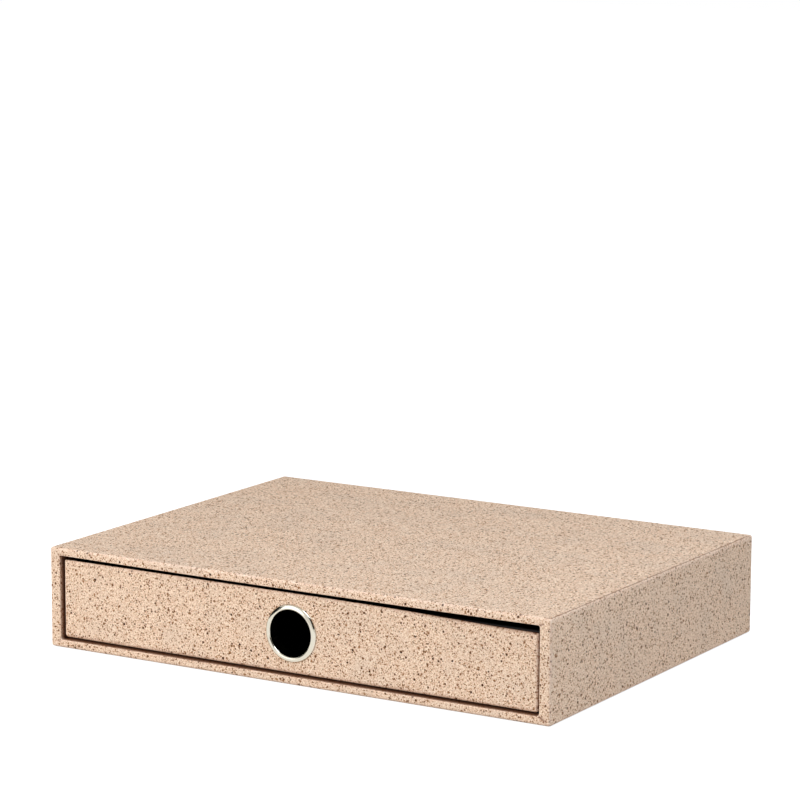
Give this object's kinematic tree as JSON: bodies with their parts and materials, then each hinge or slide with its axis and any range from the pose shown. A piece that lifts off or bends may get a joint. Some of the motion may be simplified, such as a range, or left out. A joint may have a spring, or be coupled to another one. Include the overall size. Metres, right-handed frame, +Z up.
{
  "type": "file box with drawer",
  "caption": "Flat desk box of board covered in speckled paper, with a full-width drawer for papers that slides out and is pulled by a round metal finger hole.",
  "frame": {"origin": "the middle of the underside, on the surface that the box stands on", "axes": "+X to the right along the width, +Y from the drawer's face to the back, +Z up"},
  "size_m": [0.335, 0.25, 0.06],
  "materials": {
    "speckled_paper": "matte",
    "greyboard": "matte",
    "black_board": "matte",
    "black_paper": "matte",
    "nickel_plate": "polished"
  },
  "bodies": {
    "case": {"case_top_board": "greyboard", "case_bottom_board": "greyboard", "case_left_board": "greyboard", "case_right_board": "greyboard", "case_back_board": "greyboard", "case_left_spacer": "greyboard", "case_right_spacer": "greyboard", "case_top_liner": "black_board", "case_bottom_liner": "black_board", "case_left_liner": "black_board", "case_right_liner": "black_board", "case_back_lining": "black_paper", "case_cover_paper": "speckled_paper", "case_back_sheet": "speckled_paper", "case_base_sheet": "speckled_paper"},
    "drawer": {"facing_board": "greyboard", "facing_cover_paper": "speckled_paper", "tray_front_board": "black_board", "tray_left_board": "black_board", "tray_right_board": "black_board", "tray_back_board": "black_board", "tray_base_board": "black_board", "tray_wall_paper": "black_paper", "tray_floor_lining": "black_paper", "tray_base_sheet": "black_paper", "eyelet": "nickel_plate", "eyelet_washer": "nickel_plate"}
  },
  "joints": [
    {"name": "drawer_slide", "type": "slide", "parent": "case", "child": "drawer", "axis": [0, -1, 0], "range_m": [0, 0.2]}
  ]
}
